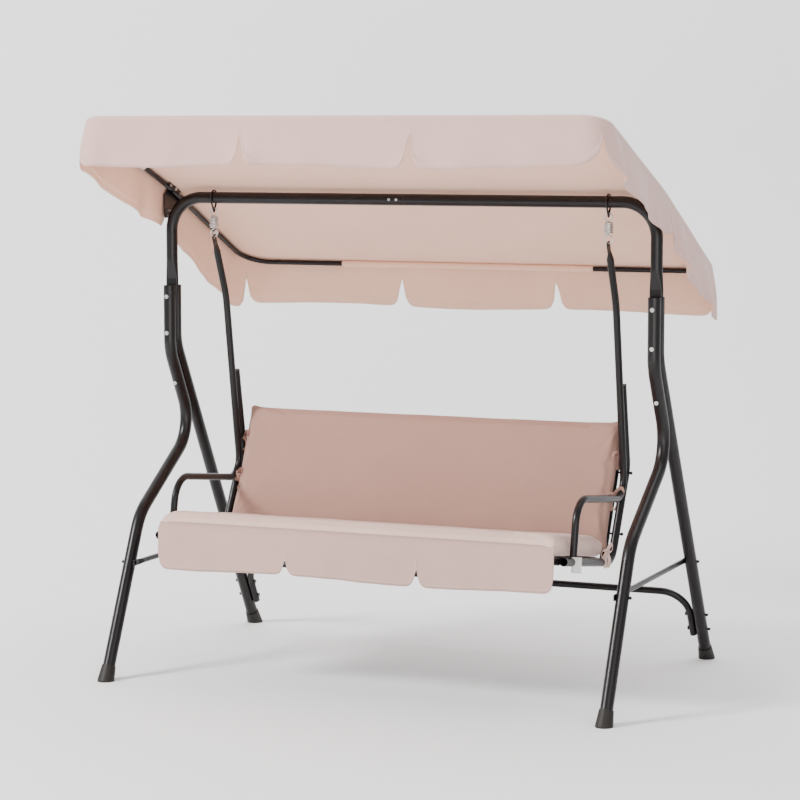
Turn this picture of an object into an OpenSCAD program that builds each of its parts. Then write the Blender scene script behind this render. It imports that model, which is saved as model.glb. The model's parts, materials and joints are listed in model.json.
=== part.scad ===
// Garden swing bench with a tilting fabric canopy: tube frame, two spring-hung seat sides,
// sewn cushions with a scalloped skirt. Millimetres, +Z up, the sitter faces -Y.

/* [Stand] */
// Distance from the middle to the plane of each pair of legs
leg_x = 797; // [760:1:820]
// Height of the top bar's centre line
top_bar_z = 1460; // [1440:1:1480]
// Outer diameter of the top bar
top_bar_d = 36; // [34:1:38]
// Outer diameter of the legs
leg_d = 38; // [36:1:38]
// Wall of the frame tubes
frame_wall = 1.5; // [1.2:0.1:2]
// Height of the leg tops
leg_top_z = 1183; // [1160:1:1200]
// Where the front foot stands, measured from the top bar
front_foot_y = -458; // [-470:1:-440]
// Where the rear foot stands, measured from the top bar
rear_foot_y = 582; // [570:1:590]
// Bend radius of the top bar's two corners
top_bar_bend = 105; // [95:1:115]
// Diameter of the side braces
brace_d = 16; // [14:1:18]
// Height of the side braces
brace_z = 342; // [330:1:355]
// Diameter of the rear stabiliser
stabilizer_d = 22; // [20:1:24]
// Diameter of a foot where it meets the ground
foot_d = 52; // [48:1:56]

/* [Canopy] */
// Height of the canopy's pivot
pivot_z = 1485; // [1483:1:1490]
// Distance of the pivot behind the top bar
pivot_y = 12; // [10:1:16]
// Diameter of the canopy bars
canopy_bar_d = 16; // [14:1:18]
// Half the distance between the canopy's side bars
canopy_bar_x = 802; // [801:0.5:802]
// Length of the front half along its slope
canopy_front_run = 581; // [560:1:600]
// Rise of the front half, degrees
canopy_front_rise = 21.2; // [19:0.1:23]
// Length of the rear half along its slope
canopy_rear_run = 590; // [560:1:600]
// Fall of the rear half, degrees
canopy_rear_fall = 25.4; // [23:0.1:27]
// Drop of the canopy's valance
canopy_drop = 142; // [120:1:160]

/* [Seat] */
// Distance from the middle to the hangers
hanger_x = 648; // [648:1:650]
// Diameter of the seat tubes
seat_tube_d = 22; // [20:1:22]
// Diameter of the bent seat sides
seat_side_d = 25; // [22:1:25]
// Thickness of the seat cushion
seat_pad = 52; // [40:1:56]
// Thickness of the back cushion
back_pad = 36; // [30:1:36]
// Half the width of both cushions
pad_half_w = 630; // [620:1:632]
// Drop of the skirt in front of the seat
skirt_drop = 150; // [120:1:155]

/* [Hidden] */
$fn = 48;
// Moves the whole model so that its box is centred on the origin
centre_y = -30;
leg_gap_y = 19.5;
leg_bend_z = 978;
leg_cut_gap = 6.4;
flat_w = 42;
flat_t = 12;
flat_top_z = 1205;
flat_low_z = 1012;
round_low_z = 1262;
leg_bolt_z = [1148, 1033];
link_bolt_z = 870;
bolt_d = 6;
hole_d = 7;
leg_end_z = 16;
front_leg = [[-leg_gap_y, leg_top_z], [-leg_gap_y, leg_bend_z], [124, 717], [-232, 484], [front_foot_y, 0]];
front_leg_bends = [0, 140, 120, 170, 0];
rear_leg = [[leg_gap_y, leg_top_z], [leg_gap_y, 1000], [rear_foot_y, 0]];
rear_leg_bends = [0, 140, 0];
rear_lean = atan2(rear_foot_y - leg_gap_y, 1000);
front_lean = atan2(-232 - front_foot_y, 484);
brace_x = 776.3;
brace_front_y = front_foot_y + brace_z * tan(front_lean);
brace_rear_y = rear_foot_y - brace_z * tan(rear_lean);
stab_x = 766.5;
stab_low = 97.5;
stab_high = 264;
stab_bolts = [122, 180];
plate_x = 811;
plate_t = 3;
loop_x = 648;
loop_reach = 21.9;
loop_drop = 43;
rod_d = 6;
ring_r = 12;
wire_d = 4;
top_ring_z = 1415.6;
low_ring_z = 1350;
coil_low_z = 1364;
coil_h = 35;
coil_turns = 7;
hang_hole_z = 1335;
rail_front = [-385, 448];
rail_rear = [52, 380];
rail_fall = atan2(rail_front.y - rail_rear.y, rail_rear.x - rail_front.x);
rail_len = norm(rail_rear - rail_front);
back_foot = [30, 400];
back_lean = 25;
back_len = 432;
sling_t = 3;
gap = 0.5;
// Hairline between a straight and its bend
seam = 0.02;
hoop_x = 613;
sling_x = hoop_x - 20;
hoop_set = back_pad + sling_t + 2 * gap + seat_tube_d / 2;
seat_wall = 1.5;
armrest = [[19.5, 1290], [80, 1150], [178, 556], [-268, 614], [-300, 445]];
armrest_bends = [0, 300, 60, 80, 0];
seat_side = [[147, 904], [196, 650], rail_rear, rail_front];
seat_side_bends = [0, 90, 70, 0];

// Direction from one point to the next, and the turn at the middle one
function heading(a, b) = atan2(b.y - a.y, b.x - a.x);
function wrap(t) = t > 180 ? t - 360 : t < -180 ? t + 360 : t;
function turn(p, i) = wrap(heading(p[i], p[i + 1]) - heading(p[i - 1], p[i]));
function setback(p, r, i) = i == 0 || i == len(p) - 1 ? 0 : r[i] * tan(abs(turn(p, i)) / 2);

// A slot outline with round ends, w long and t across
function slot_points(w, t, steps = 12) = [
    for (s = [-1, 1], i = [0 : steps])
        let (a = -90 + 180 * i / steps + (s < 0 ? 180 : 0))
        [s * (w - t) / 2 + t / 2 * cos(a), t / 2 * sin(a)]
];

module centred() {
    translate([0, centre_y, 0]) children();
}

// Draws a part for one side of the bench
module side(s) {
    centred() if (s < 0) mirror([1, 0, 0]) children(); else children();
}

// Lays a drawing made in (x, y) into the upright plane (Y, Z) at the given X
module in_side_plane(x) {
    translate([x, 0, 0]) rotate([90, 0, 90]) children();
}

module ring(d, wall) {
    difference() {
        circle(d = d);
        if (wall > 0) circle(d = d - 2 * wall);
    }
}

// A bent tube along points in the XY plane; wall 0 gives a solid rod
module tube_path(p, r, d, wall) {
    for (i = [0 : len(p) - 2]) {
        from = setback(p, r, i);
        run = norm(p[i + 1] - p[i]) - from - setback(p, r, i + 1);
        translate([p[i].x, p[i].y, 0])
            rotate([0, 0, heading(p[i], p[i + 1])])
            translate([from + (i > 0 ? seam : 0), 0, 0])
            rotate([0, 90, 0])
            linear_extrude(run - (i > 0 ? seam : 0) - (i < len(p) - 2 ? seam : 0)) ring(d, wall);
    }
    for (i = [1 : len(p) - 2]) {
        t = turn(p, i);
        translate([p[i].x, p[i].y, 0])
            rotate([0, 0, heading(p[i - 1], p[i])])
            translate([-setback(p, r, i), sign(t) * r[i], 0])
            rotate([0, 0, t > 0 ? -90 : 90 - abs(t)])
            rotate_extrude(angle = abs(t)) translate([r[i], 0]) ring(d, wall);
    }
}

// A straight tube along X
module cross_tube(half, d, wall) {
    translate([-half, 0, 0]) rotate([0, 90, 0]) linear_extrude(2 * half) ring(d, wall);
}

// A bolt along +Z: head below z = 0, shank, and a nut above the grip
module bolt(grip, d = bolt_d, head = 11, nut = 10) {
    translate([0, 0, -3.5]) cylinder(d = head, h = 3.5);
    cylinder(d = d, h = grip + 7);
    translate([0, 0, grip]) cylinder(d = nut, h = 5, $fn = 6);
}

module along_y(x, y, z) {
    translate([x, y, z]) rotate([-90, 0, 0]) children();
}

module along_x(x, y, z) {
    translate([x, y, z]) rotate([0, 90, 0]) children();
}

// Legs -----------------------------------------------------------------------

// The part of a leg beside the flattened top bar, cut flat to make room for it
module leg_top_cut(s) {
    translate([leg_x - leg_d, s > 0 ? -leg_d : -leg_cut_gap, leg_bend_z + 22])
        cube([2 * leg_d, leg_d + leg_cut_gap, leg_top_z]);
}

module front_leg() {
    color("#2e2624") difference() {
        in_side_plane(leg_x) tube_path(shorten(front_leg, front_lean), front_leg_bends, leg_d, frame_wall);
        leg_top_cut(-1);
        for (z = leg_bolt_z) along_y(leg_x, -leg_d - 5, z) cylinder(d = hole_d, h = leg_d + 10);
        along_y(leg_x, 0, link_bolt_z) cylinder(d = hole_d, h = 70);
        along_x(leg_x - leg_d, brace_front_y, brace_z) cylinder(d = hole_d, h = 2 * leg_d);
    }
}

module rear_leg() {
    color("#2e2624") difference() {
        in_side_plane(leg_x) tube_path(shorten(rear_leg, rear_lean), rear_leg_bends, leg_d, frame_wall);
        leg_top_cut(1);
        for (z = leg_bolt_z) along_y(leg_x, -5, z) cylinder(d = hole_d, h = leg_d + 10);
        along_y(leg_x, 50, link_bolt_z) cylinder(d = hole_d, h = 90);
        along_x(leg_x - leg_d, brace_rear_y, brace_z) cylinder(d = hole_d, h = 2 * leg_d);
        on_rear_leg() for (v = stab_bolts)
            along_x(leg_x - leg_d, 0, v) cylinder(d = hole_d, h = 2 * leg_d);
    }
}

// The same leg, ended a little above the ground inside its foot
function shorten(p, lean) =
    let (n = len(p) - 1, d = (p[n - 1] - p[n]) / norm(p[n - 1] - p[n]))
    [for (i = [0 : n]) i < n ? p[i] : p[n] + d * leg_end_z / cos(lean)];

// Places a drawing made in (X, height along the leg) into the rear legs' plane
module on_rear_leg() {
    translate([0, rear_foot_y, 0]) rotate([rear_lean, 0, 0]) children();
}

module foot(y, lean) {
    color("#5b554d") difference() {
        hull() {
            translate([leg_x, y, 0]) cylinder(d = foot_d, h = 5, $fn = 32);
            translate([leg_x, y, 0]) rotate([lean, 0, 0])
                translate([0, 0, 44]) cylinder(d = leg_d + 5, h = 4, $fn = 32);
        }
        translate([leg_x, y, 0]) rotate([lean, 0, 0])
            translate([0, 0, (leg_end_z - 1) / cos(lean)]) cylinder(d = leg_d + 0.5, h = 60);
    }
}

// Top bar --------------------------------------------------------------------

module top_bar() {
    color("#2e2624") difference() {
        union() {
            rotate([90, 0, 0]) tube_path(
                [[0.3, top_bar_z], [leg_x, top_bar_z], [leg_x, round_low_z]],
                [0, top_bar_bend, 0], top_bar_d, frame_wall);
            translate([leg_x, 0, flat_top_z]) difference() {
                flat_to_round(0);
                flat_to_round(frame_wall);
            }
            translate([leg_x, 0, flat_low_z]) linear_extrude(flat_top_z - flat_low_z) difference() {
                polygon(slot_points(flat_w, flat_t));
                polygon(slot_points(flat_w - 2 * frame_wall, flat_t - 2 * frame_wall));
            }
        }
        for (z = leg_bolt_z) along_y(leg_x, -flat_t, z) cylinder(d = hole_d, h = 2 * flat_t);
        for (z = bracket_bolt_z) along_x(leg_x - leg_d / 2, 0, z) cylinder(d = hole_d, h = leg_d);
    }
}

// The neck between the flattened end and the round tube
module flat_to_round(inset) {
    h = round_low_z - flat_top_z;
    e = inset > 0 ? 0.05 : 0;
    hull() {
        translate([0, 0, -e]) linear_extrude(0.05 + e)
            polygon(slot_points(flat_w - 2 * inset, flat_t - 2 * inset));
        translate([0, 0, h - 0.05]) cylinder(d = top_bar_d - 2 * inset, h = 0.05 + e, $fn = 32);
    }
}

bracket_bolt_z = [1402, 1418];
lock_bolt = [78, 1436];
rivet_x = [-22, -46];

module top_bar_side(s) {
    side(s) top_bar_drilled(s);
}

module top_bar_drilled(s) {
    difference() {
        top_bar();
        if (s < 0) for (x = rivet_x)
            along_y(-x, -top_bar_d, top_bar_z) cylinder(d = 5, h = 2 * top_bar_d);
    }
}

module top_bar_joiner() {
    color("#3a3230") centred() difference() {
        translate([0, 0, top_bar_z]) cross_tube(70, top_bar_d - 2 * frame_wall - 0.4, frame_wall);
        for (x = rivet_x) along_y(x, -top_bar_d, top_bar_z) cylinder(d = 5, h = 2 * top_bar_d);
    }
}

module top_bar_rivets() {
    color("silver") centred() for (x = rivet_x)
        along_y(x, -top_bar_d / 2, top_bar_z) {
            translate([0, 0, -2]) cylinder(d = 8, h = 2);
            cylinder(d = 4.6, h = top_bar_d + 1);
            translate([0, 0, top_bar_d]) cylinder(d = 8, h = 2);
        }
}

// Braces and stabiliser -------------------------------------------------------

module side_brace() {
    tab = 34;
    neck = 26;
    color("#35302f") difference() {
        translate([brace_x, 0, brace_z]) {
            translate([0, brace_front_y + tab / 2 + neck, 0]) rotate([-90, 0, 0])
                linear_extrude(brace_rear_y - brace_front_y - tab - 2 * neck) ring(brace_d, 1.2);
            brace_end(brace_front_y, 1, tab, neck);
            brace_end(brace_rear_y, -1, tab, neck);
        }
        for (y = [brace_front_y, brace_rear_y])
            along_x(brace_x - 20, y, brace_z) cylinder(d = hole_d, h = 40);
    }
}

// A tube end pressed flat for its bolt
module brace_end(y, way, tab, neck) {
    tab_t = 3;
    translate([-tab_t / 2, y - tab / 2, -9]) cube([tab_t, tab, 18]);
    hull() {
        translate([-tab_t / 2, y + way * tab / 2 - 0.5, -9]) cube([tab_t, 1, 18]);
        translate([0, y + way * (tab / 2 + neck) - (way > 0 ? 1 : 0), 0]) rotate([-90, 0, 0])
            cylinder(d = brace_d, h = 1, $fn = 32);
    }
}

module rear_stabilizer() {
    color("#2e2624") centred() difference() {
        on_rear_leg() rotate([90, 0, 0]) tube_path(
            [[-stab_x, stab_low], [-stab_x, stab_high], [stab_x, stab_high], [stab_x, stab_low]],
            [0, 85, 85, 0], stabilizer_d, 1.3);
        on_rear_leg() for (v = stab_bolts)
            along_x(-leg_x, 0, v) cylinder(d = hole_d, h = 2 * leg_x);
    }
}

// Fasteners of the stand -------------------------------------------------------

module both_sides() {
    children();
    mirror([1, 0, 0]) children();
}

module leg_bolts() {
    color("#9a9a98") centred() both_sides() {
        for (z = leg_bolt_z)
            along_y(leg_x, -leg_gap_y - leg_d / 2 - gap, z) bolt(2 * leg_gap_y + leg_d + 2 * gap, head = 13);
        along_y(leg_x, 12, link_bolt_z) bolt(106, head = 12);
    }
}

module brace_bolts() {
    color("#3a3432") centred() both_sides() for (y = [brace_front_y, brace_rear_y])
        along_x(brace_x - 1.5 - gap, y, brace_z) bolt(leg_d + 5, head = 12);
}

module stabilizer_bolts() {
    color("#3a3432") centred() both_sides() on_rear_leg() for (v = stab_bolts)
        along_x(stab_x - stabilizer_d / 2 - gap, 0, v) bolt(leg_d + stabilizer_d + 3, head = 14);
}

module bracket_bolts() {
    color("#9a9a98") centred() both_sides() {
        for (z = bracket_bolt_z) translate([plate_x + plate_t, 0, z]) rotate([0, -90, 0]) {
            translate([0, 0, -3.5]) cylinder(d = 11, h = 3.5);
            cylinder(d = bolt_d, h = 32);
        }
        translate([plate_x, lock_bolt.x, lock_bolt.y]) rotate([0, 90, 0]) {
            translate([0, 0, -4]) cylinder(d = 10, h = 4);
            cylinder(d = bolt_d, h = plate_t + 3);
        }
    }
}

// Canopy ---------------------------------------------------------------------

module canopy_bracket() {
    color("#2e2624") difference() {
        in_side_plane(plate_x) linear_extrude(plate_t) difference() {
            polygon([[-14, 1395], [60, 1395], [94, 1412], [94, 1446], [60, 1462], [14, 1491],
                [8, 1491], [-8, 1479], [-22, 1468], [-22, 1403]]);
            translate([pivot_y, pivot_z]) circle(d = bolt_d + 0.7);
            for (z = bracket_bolt_z) translate([0, z]) circle(d = hole_d);
            translate(lock_bolt) circle(d = hole_d);
        }
    }
}

// Side bars run from the joiner out to a cross bar with rounded corners
module canopy_hoop(run, bend) {
    start = 9;
    tube_path([[canopy_bar_x, start], [canopy_bar_x, run], [-canopy_bar_x, run], [-canopy_bar_x, start]],
        [0, bend, bend, 0], canopy_bar_d, 1.2);
}

module at_pivot() {
    translate([0, pivot_y, pivot_z]) children();
}

module canopy_front_hoop() {
    color("#2e2624") centred() at_pivot() rotate([180 - canopy_front_rise, 0, 0]) difference() {
        canopy_hoop(canopy_front_run, 60);
        joiner_holes();
    }
}

module canopy_rear_hoop() {
    color("#2e2624") centred() at_pivot() rotate([-canopy_rear_fall, 0, 0]) difference() {
        canopy_hoop(canopy_rear_run, 90);
        joiner_holes();
    }
}

joiner_reach = 34;

module joiner_holes() {
    along_x(-leg_x - leg_d, joiner_reach, 0) cylinder(d = 5, h = 2 * leg_x + 2 * leg_d);
}

module canopy_joiner() {
    inner = canopy_bar_x - canopy_bar_d / 2 - 4;
    color("#2e2624") translate([inner, 0, 0]) difference() {
        rotate([90, 0, 90]) linear_extrude(3.4) translate([pivot_y, pivot_z]) difference() {
            union() {
                rotate(180 - canopy_front_rise) translate([-6, -8]) square([joiner_reach + 16, 16]);
                rotate(-canopy_rear_fall) translate([-6, -8]) square([joiner_reach + 16, 16]);
            }
            circle(d = bolt_d + 0.2);
            rotate(180 - canopy_front_rise) translate([joiner_reach, 0]) circle(d = 5);
            rotate(-canopy_rear_fall) translate([joiner_reach, 0]) circle(d = 5);
        }
    }
}

module canopy_pivot_bolts() {
    inner = canopy_bar_x - canopy_bar_d / 2 - 4.6;
    color("#9a9a98") centred() both_sides() at_pivot() {
        along_x(inner, 0, 0) {
            translate([0, 0, -4]) cylinder(d = 10, h = 4);
            cylinder(d = bolt_d, h = plate_x + plate_t + 0.6 - inner);
            translate([0, 0, plate_x + plate_t + 0.6 - inner]) cylinder(d = 12, h = 3);
        }
        for (a = [180 - canopy_front_rise, -canopy_rear_fall]) rotate([a, 0, 0])
            along_x(inner, joiner_reach, 0) {
                translate([0, 0, -3]) cylinder(d = 8, h = 3);
                cylinder(d = 4.6, h = 21);
            }
    }
}

// Points of the canopy's profile, v above the bars, at the front, the pivot and the rear
function front_point(u, v) = [
    pivot_y - u * cos(canopy_front_rise) + v * sin(canopy_front_rise),
    pivot_z + u * sin(canopy_front_rise) + v * cos(canopy_front_rise)];
function rear_point(u, v) = [
    pivot_y + u * cos(canopy_rear_fall) + v * sin(canopy_rear_fall),
    pivot_z - u * sin(canopy_rear_fall) + v * cos(canopy_rear_fall)];

cloth_t = 3;
cloth_v = canopy_bar_d / 2 + gap;
cloth_reach = 12;
front_reach = 17;
ridge_v = cloth_v + 1.6;
cloth_x = 822;

module canopy_cover() {
    f = canopy_front_run + front_reach;
    r = canopy_rear_run + cloth_reach;
    top = [front_point(f, cloth_v), [pivot_y, pivot_z + ridge_v], rear_point(r, cloth_v)];
    roof = [top[2] + [0, cloth_t], top[1] + [0, cloth_t], top[0] + [0, cloth_t]];
    hem = [rear_point(r, cloth_v - canopy_drop), [60, pivot_z - 150],
        [0, pivot_z - 105], [-60, pivot_z - 110], front_point(f, 0) - [0, canopy_drop]];
    color("#d9bfb4") centred() {
        in_side_plane(-cloth_x) linear_extrude(2 * cloth_x) polygon(concat(top, roof));
        both_sides() in_side_plane(cloth_x - cloth_t) linear_extrude(cloth_t)
            polygon(concat([roof[2], roof[1], roof[0]], hem));
        translate([-cloth_x, top[0].x, roof[2].y - canopy_drop])
            cube([2 * cloth_x, cloth_t, canopy_drop]);
        translate([-cloth_x, top[2].x - cloth_t, roof[0].y - canopy_drop])
            cube([2 * cloth_x, cloth_t, canopy_drop]);
    }
}

// Suspension -----------------------------------------------------------------

module hanger_loop() {
    r = loop_reach;
    color("#1d1b1b") translate([0, 0, top_bar_z]) in_side_plane(loop_x) {
        tube_path([[0, -loop_drop], [-r - 0.1, -6], [-r - 0.1, r + 0.1], [r + 0.1, r + 0.1], [r + 0.1, -6], [0, -loop_drop]],
            [0, 20, r, r, 20, 0], rod_d, 0);
        translate([0, -loop_drop, 0]) sphere(d = rod_d + 1.2);
    }
}

module wire_ring(z) {
    translate([0, 0, z]) rotate([90, 0, 0]) rotate_extrude() translate([ring_r, 0]) circle(d = wire_d, $fn = 24);
}

module spring() {
    pitch = (coil_h - wire_d) / (coil_turns - 1);
    color("silver") translate([loop_x, 0, 0]) {
        wire_ring(top_ring_z);
        wire_ring(low_ring_z);
        for (z = [coil_low_z - 4, coil_low_z + coil_h - 2]) translate([0, 0, z]) cylinder(d = 5, h = 6);
        for (z = [coil_low_z, coil_low_z + coil_h - 2]) translate([0, 0, z]) cylinder(r = ring_r - 0.5, h = 2);
        translate([0, 0, coil_low_z + wire_d / 2]) rotate_extrude() {
            translate([ring_r - 1.2, -wire_d / 2]) square([2.4, coil_h]);
            for (i = [0 : coil_turns - 1]) translate([ring_r, i * pitch]) circle(d = wire_d, $fn = 16);
        }
    }
}

// Seat frame -----------------------------------------------------------------

module hanger() {
    tip = [0, hang_hole_z];
    neck = armrest[0];
    lean = heading(neck, tip) - 90;
    color("#2e2624") difference() {
        union() {
            in_side_plane(hanger_x) tube_path(armrest, armrest_bends, seat_tube_d, seat_wall);
            translate([hanger_x, neck.x, neck.y]) rotate([lean, 0, 0]) translate([0, 0, seam]) {
                hull() {
                    cylinder(d = seat_tube_d, h = 0.5, $fn = 32);
                    translate([-2, -11, 22]) cube([4, 22, 1]);
                }
                translate([-2, -11, 22.5]) cube([4, 22, 34]);
            }
        }
        along_x(hanger_x - 20, tip.x, tip.y) cylinder(d = 12, h = 40);
        for (p = seat_bolt_points) along_x(hanger_x - 30, p.x, p.y) cylinder(d = hole_d, h = 60);
    }
}

module seat_side_tube() {
    color("#2e2624") difference() {
        in_side_plane(hanger_x) tube_path(seat_side, seat_side_bends, seat_side_d, seat_wall);
        for (p = seat_bolt_points) along_x(hanger_x - 30, p.x, p.y) cylinder(d = hole_d, h = 60);
    }
}

// Where the hoop is bolted to the seat sides
seat_bolt_points = [[105, 459], [191, 634]];

// Places a drawing into the reclined back: X across, up the back, and t behind its face
module on_back() {
    translate([0, back_foot.x, back_foot.y]) rotate([-back_lean, 0, 0]) children();
}

module back_hoop() {
    color("#2e2624") centred() difference() {
        on_back() translate([0, hoop_set, 0]) rotate([90, 0, 0]) tube_path(
            [[-hoop_x, 2], [-hoop_x, back_len - 14], [hoop_x, back_len - 14], [hoop_x, 2]],
            [0, 60, 60, 0], seat_tube_d, seat_wall);
        for (p = seat_bolt_points) along_x(-leg_x, p.x, p.y) cylinder(d = hole_d, h = 2 * leg_x);
    }
}

module seat_bar(p) {
    color("#2e2624") centred() translate([0, p.x, p.y])
        cross_tube(hanger_x - seat_side_d / 2 - gap, seat_tube_d, seat_wall);
}

module seat_bolts() {
    color("#3a3432") centred() both_sides() for (p = seat_bolt_points)
        along_x(hoop_x - seat_tube_d / 2 - gap, p.x, p.y) bolt(hanger_x - hoop_x + seat_side_d / 2 + seat_tube_d / 2 + 2 * gap, head = 11);
}

module tube_caps() {
    up = heading(seat_side[1], seat_side[0]) - 90;
    color("#141212") centred() both_sides()
        translate([hanger_x, seat_side[0].x, seat_side[0].y]) rotate([up, 0, 0]) {
            translate([0, 0, 0.2]) cylinder(d = seat_side_d + 1, h = 3);
            translate([0, 0, -12]) cylinder(d = seat_side_d - 2 * seat_wall - 0.4, h = 13);
        }
}

// Cloth and cushions ----------------------------------------------------------

// Places a drawing on the sloping seat: X across, back along the seat, and up from its bars
module on_seat() {
    translate([0, rail_front.x, rail_front.y]) rotate([-rail_fall, 0, 0]) children();
}

seat_over = 30;

module seat_sling() {
    color("#3b3634") centred() on_seat()
        translate([-sling_x, -6, seat_tube_d / 2 + gap]) cube([2 * sling_x, rail_len - 12, sling_t]);
}

module back_sling() {
    color("#3b3634") centred() on_back()
        translate([-sling_x, back_pad + gap, 24]) cube([2 * sling_x, sling_t, back_len - 30]);
}

module seat_cushion() {
    color("#cdb0a4") centred() on_seat()
        translate([-pad_half_w, -seat_over, seat_tube_d / 2 + sling_t + 2 * gap])
        cube([2 * pad_half_w, rail_len + seat_over - 29, seat_pad]);
}

module back_cushion() {
    color("#bf9f93") centred() on_back()
        translate([-pad_half_w, 0, 22]) cube([2 * pad_half_w, back_pad, back_len - 22]);
}

module seat_valance() {
    color("#d9bfb4") centred() translate([-pad_half_w, -424, 505 - skirt_drop])
        cube([2 * pad_half_w, cloth_t, skirt_drop]);
}

side(-1) front_leg();  // front_leg_left
side(1) front_leg();  // front_leg_right
side(-1) rear_leg();  // rear_leg_left
side(1) rear_leg();  // rear_leg_right
top_bar_side(-1);  // top_bar_left
top_bar_side(1);  // top_bar_right
top_bar_joiner();
side(-1) side_brace();  // side_brace_left
side(1) side_brace();  // side_brace_right
rear_stabilizer();
side(-1) foot(front_foot_y, -front_lean);  // foot_front_left
side(1) foot(front_foot_y, -front_lean);  // foot_front_right
side(-1) foot(rear_foot_y, rear_lean);  // foot_rear_left
side(1) foot(rear_foot_y, rear_lean);  // foot_rear_right
side(-1) canopy_bracket();  // canopy_bracket_left
side(1) canopy_bracket();  // canopy_bracket_right
leg_bolts();
brace_bolts();
stabilizer_bolts();
bracket_bolts();
top_bar_rivets();
canopy_front_hoop();
canopy_rear_hoop();
side(-1) canopy_joiner();  // canopy_joiner_left
side(1) canopy_joiner();  // canopy_joiner_right
canopy_pivot_bolts();
canopy_cover();
side(-1) hanger_loop();  // hanger_loop_left
side(1) hanger_loop();  // hanger_loop_right
side(-1) spring();  // spring_left
side(1) spring();  // spring_right
side(-1) hanger();  // hanger_left
side(1) hanger();  // hanger_right
side(-1) seat_side_tube();  // seat_side_left
side(1) seat_side_tube();  // seat_side_right
back_hoop();
seat_bar(rail_front);  // seat_front_bar
seat_bar(rail_rear);  // seat_rear_bar
seat_sling();
back_sling();
seat_cushion();
back_cushion();
seat_valance();
tube_caps();
seat_bolts();
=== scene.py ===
import bpy, bmesh, math, json
from mathutils import Vector, Matrix, noise


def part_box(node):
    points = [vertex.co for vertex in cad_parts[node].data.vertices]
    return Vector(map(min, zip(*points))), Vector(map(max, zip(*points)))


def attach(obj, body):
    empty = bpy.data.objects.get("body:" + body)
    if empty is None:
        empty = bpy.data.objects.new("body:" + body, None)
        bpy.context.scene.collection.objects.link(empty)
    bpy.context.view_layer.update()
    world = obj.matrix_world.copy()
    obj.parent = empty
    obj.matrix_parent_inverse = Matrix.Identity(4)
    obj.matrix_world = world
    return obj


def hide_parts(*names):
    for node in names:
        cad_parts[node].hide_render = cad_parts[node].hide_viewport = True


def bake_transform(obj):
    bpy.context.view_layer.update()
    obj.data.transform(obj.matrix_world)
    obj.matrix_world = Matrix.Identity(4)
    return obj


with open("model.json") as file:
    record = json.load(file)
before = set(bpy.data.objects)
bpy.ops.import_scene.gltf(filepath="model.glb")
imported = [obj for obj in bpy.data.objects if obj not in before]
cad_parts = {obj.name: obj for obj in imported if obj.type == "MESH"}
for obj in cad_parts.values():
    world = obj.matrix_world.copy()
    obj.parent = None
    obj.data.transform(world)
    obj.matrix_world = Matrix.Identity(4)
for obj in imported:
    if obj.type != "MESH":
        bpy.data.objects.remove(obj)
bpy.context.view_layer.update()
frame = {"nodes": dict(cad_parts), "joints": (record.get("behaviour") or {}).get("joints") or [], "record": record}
nodes = frame["nodes"]
joints = {j["name"]: j for j in frame["joints"]}
barY = joints["seat_swing"]["pos_m"][1]        # the top bar's plane
pivot = Vector(joints["canopy_tilt"]["pos_m"])


# ---- small helpers
def makeObject(name, verts, faces, materials, smooth=True):
    mesh = bpy.data.meshes.new(name)
    mesh.from_pydata([tuple(v) for v in verts], [], faces)
    mesh.validate()
    obj = bpy.data.objects.new(name, mesh)
    bpy.context.scene.collection.objects.link(obj)
    for material in materials:
        mesh.materials.append(material)
    if smooth:
        mesh.shade_smooth()
    return obj


def turnOutwards(obj):
    bm = bmesh.new()
    bm.from_mesh(obj.data)
    bmesh.ops.remove_doubles(bm, verts=bm.verts, dist=1e-6)
    bmesh.ops.recalc_face_normals(bm, faces=bm.faces)
    bm.to_mesh(obj.data)
    bm.free()


def applyModifiers(obj):
    graph = bpy.context.evaluated_depsgraph_get()
    done = bpy.data.meshes.new_from_object(obj.evaluated_get(graph))
    obj.modifiers.clear()
    obj.data = done


def tubeMesh(points, radius, sides=12, closed=False, flat=1.0):
    # carries one ring of vertices along the points without twisting it
    verts, faces = [], []
    count = len(points)
    normal = None
    for i, point in enumerate(points):
        before = points[i - 1] if (i > 0 or closed) else points[i]
        after = points[(i + 1) % count] if (i < count - 1 or closed) else points[i]
        along = (after - before).normalized()
        if normal is None:
            normal = along.orthogonal().normalized()
        normal = (normal - along * normal.dot(along)).normalized()
        other = along.cross(normal)
        for k in range(sides):
            a = 2 * math.pi * k / sides
            verts.append(point + normal * radius * math.cos(a) + other * radius * flat * math.sin(a))
    last = count if closed else count - 1
    for i in range(last):
        j = (i + 1) % count
        for k in range(sides):
            m = (k + 1) % sides
            faces.append((i * sides + k, i * sides + m, j * sides + m, j * sides + k))
    if not closed:
        faces.append(tuple(reversed(range(sides))))
        faces.append(tuple(range((count - 1) * sides, count * sides)))
    return verts, faces


def smoothStep(low, high, value):
    t = max(0.0, min(1.0, (value - low) / (high - low)))
    return t * t * (3 - 2 * t)


# ---- shader groups shared by the finishes
def newGroup(name, inputs, outputs):
    group = bpy.data.node_groups.new(name, "ShaderNodeTree")
    for label, kind, value in inputs:
        socket = group.interface.new_socket(label, in_out="INPUT", socket_type=kind)
        if value is not None:
            socket.default_value = value
    for label, kind in outputs:
        group.interface.new_socket(label, in_out="OUTPUT", socket_type=kind)
    return group, group.nodes.new("NodeGroupInput"), group.nodes.new("NodeGroupOutput")


def mathNode(tree, operation, a, b=None, clamp=False):
    node = tree.nodes.new("ShaderNodeMath")
    node.operation = operation
    node.use_clamp = clamp
    for socket, value in ((node.inputs[0], a), (node.inputs[1], b)):
        if value is None:
            continue
        if hasattr(value, "links"):
            tree.links.new(value, socket)
        else:
            socket.default_value = value
    return node.outputs[0]


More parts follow.
